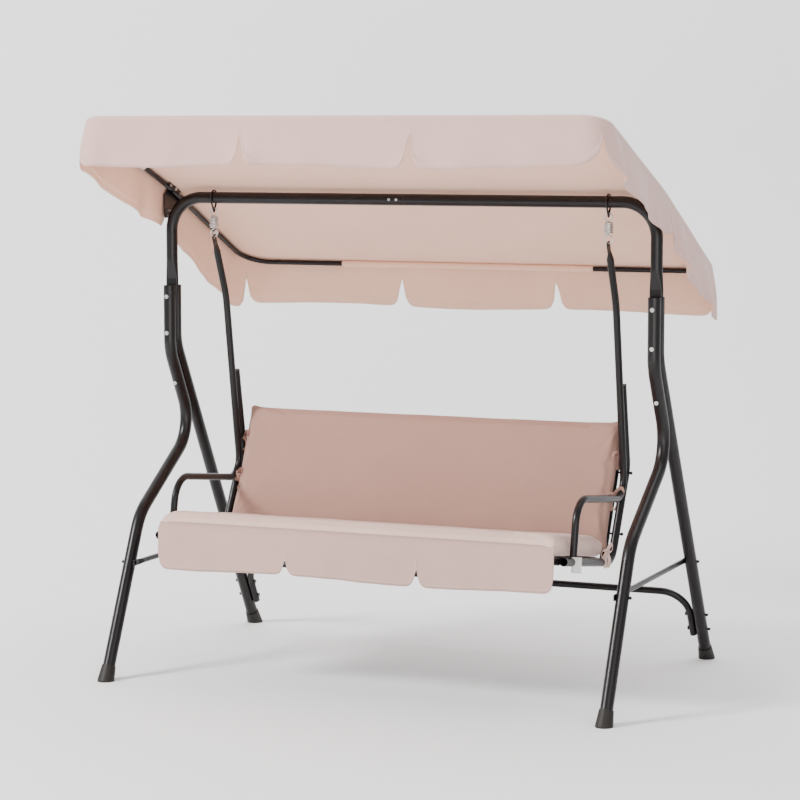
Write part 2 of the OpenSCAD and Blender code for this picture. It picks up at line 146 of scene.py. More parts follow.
def noiseNode(tree, vector, scale, detail=4.0, roughness=0.55):
    node = tree.nodes.new("ShaderNodeTexNoise")
    tree.links.new(vector, node.inputs["Vector"])
    if hasattr(scale, "links"):
        tree.links.new(scale, node.inputs["Scale"])
    else:
        node.inputs["Scale"].default_value = scale
    node.inputs["Detail"].default_value = detail
    node.inputs["Roughness"].default_value = roughness
    return node.outputs["Fac"]


def waveNode(tree, vector, scale, direction):
    node = tree.nodes.new("ShaderNodeTexWave")
    node.bands_direction = direction
    tree.links.new(vector, node.inputs["Vector"])
    tree.links.new(scale, node.inputs["Scale"])
    node.inputs["Distortion"].default_value = 0.6
    node.inputs["Detail"].default_value = 1.0
    return node.outputs["Fac"]


def weaveGroup():
    # a plain weave of warp and weft threads, with slubs and slow creasing
    group, gin, gout = newGroup("plainWeave",
                                [("Vector", "NodeSocketVector", None), ("Threads", "NodeSocketFloat", 260.0),
                                 ("Slub", "NodeSocketFloat", 0.35), ("Crease", "NodeSocketFloat", 0.5)],
                                [("Height", "NodeSocketFloat"), ("Mask", "NodeSocketFloat"),
                                 ("Crease", "NodeSocketFloat")])
    warp = waveNode(group, gin.outputs["Vector"], gin.outputs["Threads"], "X")
    weft = waveNode(group, gin.outputs["Vector"], gin.outputs["Threads"], "Y")
    threads = mathNode(group, "MULTIPLY", warp, weft)
    slub = noiseNode(group, gin.outputs["Vector"], 420.0, 2.0)
    slubbed = mathNode(group, "MULTIPLY", slub, gin.outputs["Slub"])
    creases = noiseNode(group, gin.outputs["Vector"], 9.0, 6.0, 0.6)
    deep = mathNode(group, "MULTIPLY", creases, gin.outputs["Crease"])
    group.links.new(mathNode(group, "ADD", threads, slubbed), gout.inputs["Height"])
    group.links.new(threads, gout.inputs["Mask"])
    group.links.new(deep, gout.inputs["Crease"])
    return group


def driftGroup():
    # slow and fine variation used to break up a flat colour
    group, gin, gout = newGroup("colourDrift",
        [("Vector", "NodeSocketVector", None), ("Scale", "NodeSocketFloat", 6.0)],
        [("Slow", "NodeSocketFloat"), ("Fine", "NodeSocketFloat")])
    slow = noiseNode(group, gin.outputs["Vector"], gin.outputs["Scale"], 5.0, 0.6)
    group.links.new(slow, gout.inputs["Slow"])
    fine = mathNode(group, "MULTIPLY", gin.outputs["Scale"], 40.0)
    group.links.new(noiseNode(group, gin.outputs["Vector"], fine, 3.0, 0.5), gout.inputs["Fine"])
    return group


plainWeave = weaveGroup()
colourDrift = driftGroup()


def startMaterial(name, uvMap=None):
    material = bpy.data.materials.new(name)
    material.use_nodes = True
    tree = material.node_tree
    shader = tree.nodes["Principled BSDF"]
    if uvMap:
        source = tree.nodes.new("ShaderNodeUVMap")
        source.uv_map = uvMap
        vector = source.outputs["UV"]
    else:
        vector = tree.nodes.new("ShaderNodeTexCoord").outputs["Object"]
    return material, tree, shader, vector


def placeGroup(tree, group, vector, **values):
    node = tree.nodes.new("ShaderNodeGroup")
    node.node_tree = group
    tree.links.new(vector, node.inputs["Vector"])
    for label, value in values.items():
        node.inputs[label].default_value = value
    return node


def ramp(tree, factor, stops):
    node = tree.nodes.new("ShaderNodeValToRGB")
    tree.links.new(factor, node.inputs["Fac"])
    elements = node.color_ramp.elements
    while len(elements) < len(stops):
        elements.new(0.5)
    for element, (place, colour) in zip(elements, stops):
        element.position = place
        element.color = (*colour, 1.0)
    return node.outputs["Color"]


def mixColour(tree, factor, a, b, blend="MIX"):
    node = tree.nodes.new("ShaderNodeMix")
    node.data_type = "RGBA"
    node.blend_type = blend
    for socket, value in ((node.inputs["Factor"], factor), (node.inputs[6], a), (node.inputs[7], b)):
        if hasattr(value, "links"):
            tree.links.new(value, socket)
        elif isinstance(value, tuple):
            socket.default_value = (*value, 1.0)
        else:
            socket.default_value = value
    return node.outputs[2]


def bumpChain(tree, shader, layers):
    # stacks height fields, each with its own strength and distance
    normal = None
    for height, strength, distance in layers:
        bump = tree.nodes.new("ShaderNodeBump")
        bump.inputs["Strength"].default_value = strength
        bump.inputs["Distance"].default_value = distance
        tree.links.new(height, bump.inputs["Height"])
        if normal is not None:
            tree.links.new(normal, bump.inputs["Normal"])
        normal = bump.outputs["Normal"]
    tree.links.new(normal, shader.inputs["Normal"])


def spread(colour, amount):
    return tuple(max(0.0, min(1.0, c * amount)) for c in colour)


def clothMaterial(name, colour, uvMap=None, threads=260.0, sheen=0.25, crease=0.5, rough=0.86):
    material, tree, shader, vector = startMaterial(name, uvMap)
    weave = placeGroup(tree, plainWeave, vector, Threads=threads, Slub=0.35, Crease=crease)
    drift = placeGroup(tree, colourDrift, vector, Scale=3.0)
    base = ramp(tree, drift.outputs["Slow"], [(0.25, spread(colour, 0.93)), (0.75, spread(colour, 1.05))])
    thread = ramp(tree, weave.outputs["Mask"], [(0.0, (0.84, 0.84, 0.84)), (0.6, (1.0, 1.0, 1.0))])
    tree.links.new(mixColour(tree, 0.8, base, thread, "MULTIPLY"), shader.inputs["Base Color"])
    level = tree.nodes.new("ShaderNodeMapRange")
    tree.links.new(drift.outputs["Fine"], level.inputs["Value"])
    level.inputs["To Min"].default_value = rough - 0.06
    level.inputs["To Max"].default_value = rough + 0.06
    tree.links.new(level.outputs["Result"], shader.inputs["Roughness"])
    shader.inputs["Sheen Weight"].default_value = sheen
    shader.inputs["Sheen Roughness"].default_value = 0.4
    shader.inputs["Specular IOR Level"].default_value = 0.3
    bumpChain(tree, shader, [(weave.outputs["Crease"], 0.25, 0.012), (weave.outputs["Height"], 0.35, 0.0006)])
    return material


def coatMaterial(name, colour, rough=0.34, metallic=0.0, grain=0.25, wear=0.04):
    # powder coat: fine orange peel and faint pale scuffs on the high values of a noise
    material, tree, shader, vector = startMaterial(name)
    drift = placeGroup(tree, colourDrift, vector, Scale=7.0)
    scuffs = noiseNode(tree, vector, 160.0, 6.0, 0.7)
    mask = ramp(tree, scuffs, [(0.66, (0.0, 0.0, 0.0)), (0.74, (1.0, 1.0, 1.0))])
    base = ramp(tree, drift.outputs["Slow"], [(0.3, spread(colour, 0.8)), (0.7, spread(colour, 1.25))])
    scuffed = mathNode(tree, "MULTIPLY", mask, wear)
    tree.links.new(mixColour(tree, scuffed, base, (0.4, 0.37, 0.34)), shader.inputs["Base Color"])
    level = tree.nodes.new("ShaderNodeMapRange")
    tree.links.new(drift.outputs["Fine"], level.inputs["Value"])
    level.inputs["To Min"].default_value = rough - 0.08
    level.inputs["To Max"].default_value = rough + 0.1
    tree.links.new(level.outputs["Result"], shader.inputs["Roughness"])
    shader.inputs["Metallic"].default_value = metallic
    shader.inputs["Specular IOR Level"].default_value = 0.32
    peel = noiseNode(tree, vector, 900.0, 2.0, 0.5)
    bumpChain(tree, shader, [(drift.outputs["Fine"], grain * 0.4, 0.0008), (peel, grain, 0.0004)])
    return material


def zincMaterial(name):
    material, tree, shader, vector = startMaterial(name)
    drift = placeGroup(tree, colourDrift, vector, Scale=30.0)
    base = ramp(tree, drift.outputs["Slow"], [(0.3, (0.5, 0.5, 0.49)), (0.7, (0.78, 0.78, 0.76))])
    tree.links.new(base, shader.inputs["Base Color"])
    shader.inputs["Metallic"].default_value = 1.0
    level = tree.nodes.new("ShaderNodeMapRange")
    tree.links.new(drift.outputs["Fine"], level.inputs["Value"])
    level.inputs["To Min"].default_value = 0.22
    level.inputs["To Max"].default_value = 0.42
    tree.links.new(level.outputs["Result"], shader.inputs["Roughness"])
    bumpChain(tree, shader, [(drift.outputs["Fine"], 0.15, 0.0003)])
    return material


def meshPanelMaterial(name):
    # open mesh cloth: dark coated yarns in a square grid
    material, tree, shader, vector = startMaterial(name)
    weave = placeGroup(tree, plainWeave, vector, Threads=110.0, Slub=0.2, Crease=0.4)
    base = ramp(tree, weave.outputs["Mask"], [(0.0, (0.02, 0.018, 0.017)), (0.5, (0.11, 0.1, 0.095))])
    tree.links.new(base, shader.inputs["Base Color"])
    shader.inputs["Roughness"].default_value = 0.7
    bumpChain(tree, shader, [(weave.outputs["Height"], 0.6, 0.0012)])
    return material


print("materials")
# the inside colour is brighter and warmer than the outside: painted light standing in for light that passes
# through the cloth
outsideColour, insideColourPaintedLight = (0.70, 0.455, 0.41), (0.98, 0.61, 0.46)
canopyOutside = clothMaterial("canopyOutside", outsideColour, "cloth", sheen=0.3)
# the canopy's inner face: its brightened colour is painted light passing through the cloth, not a different dye
canopyInsidePaintedLight = clothMaterial("canopyInsidePaintedLight", insideColourPaintedLight, "cloth", sheen=0.2)
skirtCloth = clothMaterial("skirtCloth", (0.56, 0.365, 0.32), "cloth", sheen=0.3)
seatCloth = clothMaterial("seatCloth", (0.74, 0.51, 0.445), sheen=0.25, crease=0.9)
backCloth = clothMaterial("backCloth", (0.42, 0.245, 0.195), sheen=0.1, crease=0.9)
threadMaterial = clothMaterial("sewingThread", (0.78, 0.64, 0.58), threads=900.0, sheen=0.1)
labelCloth = clothMaterial("labelCloth", (0.8, 0.78, 0.75), threads=700.0, sheen=0.1)
powderCoat = coatMaterial("powderCoat", (0.0050, 0.0034, 0.0040), 0.3)
blackHardware = coatMaterial("blackHardware", (0.006, 0.005, 0.005), 0.36)
footPlastic = coatMaterial("footPlastic", (0.012, 0.010, 0.008), 0.5, grain=0.6, wear=0.15)
capPlastic = coatMaterial("capPlastic", (0.014, 0.013, 0.013), 0.5, grain=0.5)
zincSteel = zincMaterial("zincSteel")
meshPanel = meshPanelMaterial("meshPanel")

slotMaterials = {"powder_coat": powderCoat, "zinc_steel": zincSteel, "dark_hardware": blackHardware,
                 "foot_plastic": footPlastic, "black_plastic": capPlastic, "canopy_fabric": canopyOutside,
                 "seat_fabric": seatCloth, "back_fabric": backCloth, "sling_fabric": meshPanel}
for entry in frame["record"]["subparts"]:
    mesh = nodes[entry["node"]].data
    mesh.materials.clear()
    mesh.materials.append(slotMaterials[entry["material_slot"]])


# ---- canopy cloth
canopyCut = {"frontRise": 21.2, "rearFall": 25.4, "frontRun": 0.592, "rearRun": 0.601, "halfWidth": 0.8205,
             "lift": 0.0118, "bendSpan": 0.09, "sag": 0.012, "fold": 0.012, "drop": 0.146, "slit": 0.055,
             "notchWidth": (0.055, 0.10, 0.055, 0.10), "corner": 0.06, "step": 0.0095,
             "rows": 14, "thickness": 0.0014,
             "hem": 0.022, "hemStep": 0.0009, "fullness": (0.011, 0.030, 0.013, 0.020),
             "cornerNotch": ((0.07, 0.128), (0.135, 0.052), (0.05, 0.085), (0.05, 0.07)),
             "frontSlits": (-0.283, 0.243), "rearSlits": (-0.25, 0.289), "sideSlit": 0.02}


def slopePath():
    # the canopy's profile, from the front edge over the pivot to the rear edge
    rise, fall = math.radians(canopyCut["frontRise"]), math.radians(canopyCut["rearFall"])
    span = canopyCut["bendSpan"]

    def angle(s):
        return rise + (fall - rise) * smoothStep(-span, span, s)
    step = 0.001
    tables = {}
    for sign, run in ((-1, canopyCut["frontRun"]), (1, canopyCut["rearRun"])):
        y = z = s = 0.0
        table = [(0.0, 0.0, 0.0)]
        while abs(s) < run + 0.01:
            a = angle(s)
            s += sign * step
            y += sign * step * math.cos(a)
            z -= sign * step * math.sin(a)
            table.append((s, y, z))
        tables[sign] = table

    def place(s):
        table = tables[-1 if s < 0 else 1]
        i = min(int(abs(s) / step), len(table) - 2)
        t = abs(s) / step - i
        a, b = table[i], table[i + 1]
        return pivot.y + a[1] + (b[1] - a[1]) * t, pivot.z + a[2] + (b[2] - a[2]) * t
    return place


slope = slopePath()


def roundCorner(x, s):
    # bends the square corners of the cut into quarter discs
    half, radius = canopyCut["halfWidth"] - canopyCut["fold"], canopyCut["corner"]
    limit = (canopyCut["frontRun"] if s < 0 else canopyCut["rearRun"]) - radius
    a, b = (abs(x) - half + radius) / radius, (abs(s) - limit) / radius
    if a <= 0 or b <= 0:
        return x, s, None
    c, d = a * math.sqrt(1 - b * b / 2), b * math.sqrt(1 - a * a / 2)
    outward = (math.copysign(c, x), math.copysign(d, s))
    return math.copysign(half - radius + radius * c, x), math.copysign(limit + radius * d, s), outward


def roofPoint(x, s):
    x, s = roundCorner(x, s)[:2]
    half, front, rear = canopyCut["halfWidth"], canopyCut["frontRun"], canopyCut["rearRun"]
    across = 1 - (x / half) ** 2
    run = -s / front if s < 0 else s / rear
    along = math.sin(math.pi * min(1.0, run)) if run < 1 else 0.0
    ripple = 0.0016 * math.sin(x * 31 + s * 9) * along + 0.0012 * math.sin(x * 17 - s * 26 + 1.3) * along
    dip = canopyCut["sag"] * across * (0.28 * (1 - run) + along) - ripple * (0.3 + across)
    y, z = slope(s)
    return Vector((x, y, z + canopyCut["lift"] - dip))


def edgeColumns():
    # columns round the four edges: place on the roof, outward direction, nearest slit
    half = canopyCut["halfWidth"] - canopyCut["fold"]
    front, rear = canopyCut["frontRun"], canopyCut["rearRun"]
    side = canopyCut["sideSlit"]
    edges = [((-half, -front), (half, -front), (0, -1), [*canopyCut["frontSlits"]], "x"),
             ((half, -front), (half, rear), (1, 0), [side], "s"),
             ((half, rear), (-half, rear), (0, 1), [*canopyCut["rearSlits"]], "x"),
             ((-half, rear), (-half, -front), (-1, 0), [side], "s")]
    columns = []
    travelled = 0.0
    for number, (a, b, out, slits, axis) in enumerate(edges):
        length = math.dist(a, b)
        count = max(2, round(length / canopyCut["step"]))
        for i in range(count):
            t = i / count
            x, s = a[0] + (b[0] - a[0]) * t, a[1] + (b[1] - a[1]) * t
            here = x if axis == "x" else s
            outward = roundCorner(x, s)[2] or out
            size = math.hypot(*outward)
            near = (t * length, (1 - t) * length)
            columns.append({"x": x, "s": s, "out": (outward[0] / size, outward[1] / size), "near": near,
                            "slit": max(0.0, min(abs(here - k) for k in slits) - canopyCut["step"] / 2),
                            "corner": min(near), "p": travelled + t * length, "edge": number})
        travelled += length
    return columns


def notch(distance, width, top, full):
    t = max(0.0, min(1.0, distance / width))
    return top + (full - top) * math.sqrt(1 - (1 - t) ** 4)


def valanceDrop(column):
    drop, slit = canopyCut["drop"], canopyCut["slit"]
    full = drop + 0.005 * math.sin(column["p"] * 7.3)
    if column["edge"] in (1, 3):
        full += 0.026 * smoothStep(0.0, 0.3, column["s"])
    lengths = [notch(column["slit"], canopyCut["notchWidth"][column["edge"]], slit, full)]
    for side in (0, 1):
        width, top = canopyCut["cornerNotch"][(column["edge"] + side) % 4]
        lengths.append(notch(column["near"][side], width, top, full))
    return min(lengths)


def valancePoint(column, depth, drop):
    fold = canopyCut["fold"]
    quarter = fold * math.pi / 2
    base = roofPoint(column["x"], column["s"])
    out = Vector((*column["out"], 0))
    if depth < quarter:
        a = depth / fold
        return base + out * fold * math.sin(a) - Vector((0, 0, fold * (1 - math.cos(a))))
    hang = depth - quarter
    share = min(1.0, hang / 0.14)
    p = column["p"]
    wave = 0.5 + 0.5 * math.sin(p * 27 + 0.9 * math.sin(p * 11))
    wave = 0.72 * wave ** 2.2 + 0.28 * (0.5 + 0.5 * math.sin(p * 45 + 1.1)) ** 1.5
    bow = canopyCut["fullness"][column["edge"]] * wave * share ** 1.2
    bow += 0.012 * math.exp(-column["slit"] / 0.05) * share ** 2 * math.sin(column["slit"] * 55 + 0.6)
    bow += 0.014 * math.exp(-column["corner"] / 0.08) * math.sin(math.pi * min(1.0, share * 0.8))
    if hang > canopyCut["fold"] * (math.pi / 2 - 1) + drop - quarter - canopyCut["hem"]:
        bow += canopyCut["hemStep"]
    return base + out * (fold + bow + 0.003 * share) - Vector((0, 0, fold + hang))


def canopySheet():
    half = canopyCut["halfWidth"] - canopyCut["fold"]
    front, rear = canopyCut["frontRun"], canopyCut["rearRun"]
    columns = edgeColumns()
    nx = max(2, round(2 * half / canopyCut["step"]))
    ns = max(2, round((front + rear) / canopyCut["step"]))
    verts, faces, uvs = [], [], []
    roofIndex = {}
    for j in range(ns + 1):
        for i in range(nx + 1):
            x, s = -half + 2 * half * i / nx, -front + (front + rear) * j / ns
            roofIndex[i, j] = len(verts)
            verts.append(roofPoint(x, s))
    grid = [(-half + 2 * half * i / nx) for i in range(nx + 1)]
    rungs = [(-front + (front + rear) * j / ns) for j in range(ns + 1)]
    for j in range(ns):
        for i in range(nx):
            faces.append((roofIndex[i, j], roofIndex[i + 1, j], roofIndex[i + 1, j + 1], roofIndex[i, j + 1]))
            uvs.append([(grid[i], rungs[j]), (grid[i + 1], rungs[j]),
                        (grid[i + 1], rungs[j + 1]), (grid[i], rungs[j + 1])])
    rows = canopyCut["rows"]
    strip = []
    for column in columns:
        i = round((column["x"] + half) / (2 * half) * nx)
        j = round((column["s"] + front) / (front + rear) * ns)
        drop = valanceDrop(column)
        total = canopyCut["fold"] * (math.pi / 2 - 1) + drop
        depths = [0.0] + [canopyCut["fold"] * math.pi / 2 * k / 4 for k in (1, 2, 3, 4)]
        flatRun = total - canopyCut["hem"] - depths[-1]
        depths += [depths[4] + flatRun * k / rows for k in range(1, rows + 1)]
        depths += [depths[-1] + 0.0006, total - canopyCut["hem"] / 2, total]
        ids = [roofIndex[i, j]]
        for depth in depths[1:]:
            ids.append(len(verts))
            verts.append(valancePoint(column, depth, drop))
        strip.append((ids, depths, column["p"]))
    for k, (ids, depths, p) in enumerate(strip):
        nextIds, nextDepths, q = strip[(k + 1) % len(strip)]
        if q < p:
            q = p + canopyCut["step"]
        for r in range(len(ids) - 1):
            face = [ids[r], ids[r + 1], nextIds[r + 1], nextIds[r]]
            uv = [(p, depths[r]), (p, depths[r + 1]), (q, nextDepths[r + 1]), (q, nextDepths[r])]
            if face[0] == face[3]:
                face, uv = face[:3], uv[:3]
            faces.append(tuple(face))
            uvs.append(uv)
    # material 1, the inside cloth, carries painted light passing through the cloth
    obj = makeObject("canopyCloth", verts, faces, [canopyOutside, canopyInsidePaintedLight])
    layer = obj.data.uv_layers.new(name="cloth")
    place = 0
    for uv in uvs:
        for pair in uv:
            layer.data[place].uv = pair
            place += 1
    bm = bmesh.new()
    bm.from_mesh(obj.data)
    bmesh.ops.recalc_face_normals(bm, faces=bm.faces)
    up = sum((f.normal.z for f in bm.faces if f.calc_center_median().z > pivot.z), 0.0)
    if up < 0:
        bmesh.ops.reverse_faces(bm, faces=bm.faces)
    bm.to_mesh(obj.data)
    bm.free()
    wall = obj.modifiers.new("clothThickness", "SOLIDIFY")
    wall.thickness = canopyCut["thickness"]
    wall.offset = -1
    wall.material_offset = 1
    applyModifiers(obj)
    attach(obj, "canopy")
    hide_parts("canopy_cover")
    return columns


print("canopy")
edgeRun = canopySheet()


# ---- stitches, placed along polylines by geometry nodes
stitchSize = {"spacing": 0.006, "length": 0.0038, "radius": 0.0005}


def stitchTree():
    tree = bpy.data.node_groups.new("stitchRun", "GeometryNodeTree")
    face = tree.interface
    face.new_socket("Geometry", in_out="INPUT", socket_type="NodeSocketGeometry")
    for label, value in (("Spacing", stitchSize["spacing"]), ("Length", stitchSize["length"]),
                         ("Radius", stitchSize["radius"])):
        face.new_socket(label, in_out="INPUT", socket_type="NodeSocketFloat").default_value = value
    face.new_socket("Material", in_out="INPUT", socket_type="NodeSocketMaterial")
    face.new_socket("Geometry", in_out="OUTPUT", socket_type="NodeSocketGeometry")
    gin, gout = tree.nodes.new("NodeGroupInput"), tree.nodes.new("NodeGroupOutput")
    curve = tree.nodes.new("GeometryNodeMeshToCurve")
    resample = tree.nodes.new("GeometryNodeResampleCurve")
    resample.mode = "LENGTH"
    stitch = tree.nodes.new("GeometryNodeMeshCylinder")
    stitch.inputs["Vertices"].default_value = 6
    place = tree.nodes.new("GeometryNodeInstanceOnPoints")
    tangent = tree.nodes.new("GeometryNodeInputTangent")
    align = tree.nodes.new("FunctionNodeAlignRotationToVector")
    realize = tree.nodes.new("GeometryNodeRealizeInstances")
    finish = tree.nodes.new("GeometryNodeSetMaterial")
    link = tree.links.new
    link(gin.outputs["Geometry"], curve.inputs["Mesh"])
    link(curve.outputs["Curve"], resample.inputs["Curve"])
    link(gin.outputs["Spacing"], resample.inputs["Length"])
    link(gin.outputs["Radius"], stitch.inputs["Radius"])
    link(gin.outputs["Length"], stitch.inputs["Depth"])
    link(resample.outputs["Curve"], place.inputs["Points"])
    link(stitch.outputs["Mesh"], place.inputs["Instance"])
    link(tangent.outputs["Tangent"], align.inputs["Vector"])
    link(align.outputs["Rotation"], place.inputs["Rotation"])
    link(place.outputs["Instances"], realize.inputs["Geometry"])
    link(realize.outputs["Geometry"], finish.inputs["Geometry"])
    link(gin.outputs["Material"], finish.inputs["Material"])
    link(finish.outputs["Geometry"], gout.inputs["Geometry"])
    return tree


stitchRun = stitchTree()


def sewLines(name, lines, body, material=threadMaterial):
    verts, edges = [], []
    for line in lines:
        start = len(verts)
        verts += [tuple(v) for v in line]
        edges += [(start + i, start + i + 1) for i in range(len(line) - 1)]
    mesh = bpy.data.meshes.new(name)
    mesh.from_pydata(verts, edges, [])
    obj = bpy.data.objects.new(name, mesh)
    bpy.context.scene.collection.objects.link(obj)
    modifier = obj.modifiers.new("stitches", "NODES")
    modifier.node_group = stitchRun
    ids = {s.name: s.identifier for s in stitchRun.interface.items_tree if s.in_out == "INPUT"}
    modifier[ids["Spacing"]] = stitchSize["spacing"]
    modifier[ids["Length"]] = stitchSize["length"]
    modifier[ids["Radius"]] = stitchSize["radius"]
    modifier[ids["Material"]] = material
    applyModifiers(obj)
    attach(obj, body)
    return obj


def hemLine(inset):
    # a run of stitches a little above the hem, on the outside of the cloth
    points = []
    for column in edgeRun:
        drop = valanceDrop(column)
        depth = canopyCut["fold"] * (math.pi / 2 - 1) + drop - inset
        points.append(valancePoint(column, depth, drop) + Vector((*column["out"], 0)) * 0.0004)
    points.append(points[0])
    return points


def seamLine(depth):
    points = [valancePoint(c, depth, 0.1) + Vector((*c["out"], 0)) * 0.0004 for c in edgeRun]
    return points + [points[0]]


sewLines("canopyHemStitches", [hemLine(0.01)], "canopy")
sewLines("canopyEdgeStitches", [seamLine(0.026)], "canopy")


# ---- sleeve that holds the cloth to the rear bar
def barSleeve():
    low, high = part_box("canopy_rear_hoop")
    barCentre = Vector((0, high.y - 0.008, low.z + 0.008))
    points = [Vector((x, barCentre.y, barCentre.z)) for x in [-0.448 + 0.869 * i / 60 for i in range(61)]]
    verts, faces = tubeMesh(points, 0.0105, 24)
    moved = []
    for i, v in enumerate(verts):
        ring = i // 24
        end = min(ring, 60 - ring) / 60
        puff = 1 + 0.05 * math.sin(v.x * 60) + 0.04 * math.sin(v.x * 143 + 2)
        radial = Vector((0, v.y - barCentre.y, v.z - barCentre.z)) * (puff if end > 0 else 0.97)
        moved.append(Vector((v.x, barCentre.y + radial.y, barCentre.z + radial.z)))
    # the sleeve takes the inside cloth, whose brightened colour is painted light passing through the cloth
    obj = makeObject("rearBarSleeve", moved, faces, [canopyInsidePaintedLight])
    obj.data.uv_layers.new(name="cloth")
    for loop in obj.data.loops:
        co = obj.data.vertices[loop.vertex_index].co
        obj.data.uv_layers["cloth"].data[loop.index].uv = (co.x, co.z + co.y)
    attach(obj, "canopy")


barSleeve()


# ---- springs and their hooks
springShape = {"wire": 0.002, "turns": 7.5, "radius": 0.0125, "ring": 0.012, "topRing": 1.4156,
               "lowRing": 1.350, "coilLow": 1.366, "coilHigh": 1.4012, "perTurn": 28}


def springPath(x):
    shape = springShape
    y = barY
    points = []
    ring, step = shape["ring"], 12
    for i in range(2 * step):            # upper hook, from the free end to the coil
        a = math.radians(-60 + 330 * i / (2 * step - 1))
        points.append(Vector((x + ring * math.cos(a), y, shape["topRing"] + ring * math.sin(a))))
    turns, per = shape["turns"], shape["perTurn"]
    count = round(turns * per)
    for i in range(count + 1):
        t = i / count
        a = -math.pi / 2 - 2 * math.pi * turns * t
        blend = smoothStep(0, 0.06, min(t, 1 - t))
        radius = shape["radius"] * (0.35 + 0.65 * blend)
        z = shape["coilHigh"] + (shape["coilLow"] - shape["coilHigh"]) * t
        points.append(Vector((x + radius * math.cos(a), y + radius * math.sin(a), z)))
    for i in range(2 * step):            # lower hook, through the hanger
        a = math.radians(90 + 330 * i / (2 * step - 1))
        points.append(Vector((x + ring * math.cos(a), y, shape["lowRing"] + ring * math.sin(a))))
    return points


def makeSpring(name, x, node):
    verts, faces = tubeMesh(springPath(x), springShape["wire"], 10)
    obj = makeObject(name, verts, faces, [zincSteel])
    turnOutwards(obj)
    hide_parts(node)
    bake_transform(obj)


print("springs")
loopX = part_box("spring_right")[0].x / 2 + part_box("spring_right")[1].x / 2
makeSpring("leftSpring", -loopX, "spring_left")
makeSpring("rightSpring", loopX, "spring_right")


# ---- cushions
def cushionMesh(name, width, length, thick, voxel=0.006, round_=0.02):
    bm = bmesh.new()
    bmesh.ops.create_cube(bm, size=1.0)
    bmesh.ops.scale(bm, vec=(width, length, thick), verts=bm.verts)
    bmesh.ops.bevel(bm, geom=list(bm.edges), offset=round_, segments=4, affect="EDGES", profile=0.6)
    mesh = bpy.data.meshes.new(name)
    bm.to_mesh(mesh)
    bm.free()
    obj = bpy.data.objects.new(name, mesh)
    bpy.context.scene.collection.objects.link(obj)
    remesh = obj.modifiers.new("remesh", "REMESH")
    remesh.mode = "VOXEL"
    remesh.voxel_size = voxel
    applyModifiers(obj)
    return obj


def inflate(obj, pressure, cap):
    # blows the cover up against its own tension; no gravity, so it swells evenly
    rest = [v.co.copy() for v in obj.data.vertices]
    cloth = obj.modifiers.new("cloth", "CLOTH")
    cloth.settings.use_pressure = True
    cloth.settings.uniform_pressure_force = pressure
    cloth.settings.effector_weights.gravity = 0
    cloth.settings.quality = 5
    scene = bpy.context.scene
    scene.frame_start, scene.frame_end = 1, 20
    for step in range(1, 21):
        scene.frame_set(step)
    graph = bpy.context.evaluated_depsgraph_get()
    blown = obj.evaluated_get(graph).data
    moved = [v.co.copy() for v in blown.vertices]
    obj.modifiers.clear()
    for v, a, b in zip(obj.data.vertices, rest, moved):
        shift = b - a
        v.co = a + shift * min(1.0, cap / max(shift.length, 1e-9))
    scene.frame_set(1)


def finishCushion(obj, half, thick, matrix, material, body, node, wrinkle):
    lowest = -thick / 2
    spanX, spanY = obj.dimensions.x, obj.dimensions.y      # the filling draws the cover in
    obj.data.transform(Matrix.Diagonal((2 * half[0] / spanX, 2 * half[1] / spanY, 1, 1)))
    for v in obj.data.vertices:
        x, y, z = v.co
        edgeX, edgeY = half[0] - abs(x), half[1] - abs(y)
        near = min(edgeX, edgeY)
        crease = noise.noise(Vector((x * 9 + y * 5, y * 14 - x * 4, 0.3))) * wrinkle
        pull = math.exp(-max(0.0, near) / 0.06)
        radial = math.sin(math.atan2(half[1] - abs(y), half[0] - abs(x)) * 22)
        radial *= math.exp(-math.hypot(edgeX, edgeY) / 0.11)
        if z > 0:
            v.co.z += crease * (0.6 + pull) + wrinkle * 0.9 * radial
        v.co.z = max(lowest, v.co.z)
    mesh = obj.data
    mesh.materials.clear()
    mesh.materials.append(material)
    mesh.shade_smooth()
    mesh.transform(matrix)
    turnOutwards(obj)
    mesh.shade_smooth()
    level = obj.modifiers.new("smooth", "SUBSURF")
    level.levels = level.render_levels = 1
    applyModifiers(obj)
    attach(obj, body)
    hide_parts(node)


def planeMatrix(origin, angle):
    # X across, Y along the cushion, Z out of its face
    return Matrix.Translation(origin) @ Matrix.Rotation(angle, 4, "X")


seatShape = {"fall": math.radians(-8.84), "thick": 0.052, "halfWidth": 0.630, "run": 0.443, "cap": 0.014,
             "wrinkle": 0.0016}
backShape = {"lean": math.radians(65), "thick": 0.036, "halfWidth": 0.630, "run": 0.410, "cap": 0.016,
             "wrinkle": 0.0022}


def onSeat(x, along, up):
    # along runs back from the front bar and up is out of the seat
    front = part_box("seat_front_bar")
    origin = (front[0] + front[1]) / 2
    a = seatShape["fall"]
    return Vector((x, origin.y + along * math.cos(a) - up * math.sin(a),
                   origin.z + along * math.sin(a) + up * math.cos(a)))


def onBack(x, along, behind):
    # along runs up the back, behind is the depth behind its face
    a = backShape["lean"]
    foot = Vector((0, barY + 0.030, 0.400))
    return Vector((x, foot.y + along * math.cos(a) + behind * math.sin(a),
                   foot.z + along * math.sin(a) - behind * math.cos(a)))


def makeSeatCushion():
    shape = seatShape
    thick = shape["thick"]
    obj = cushionMesh("seatCushion", 2 * shape["halfWidth"] - 0.012, shape["run"] - 0.012, thick * 0.86)
    inflate(obj, 4.0, shape["cap"])
    centre = onSeat(0, shape["run"] / 2 - 0.030, 0.015 + thick / 2)
    finishCushion(obj, (shape["halfWidth"], shape["run"] / 2), thick, planeMatrix(centre, shape["fall"]),
                  seatCloth, "seat", "seat_cushion", shape["wrinkle"])


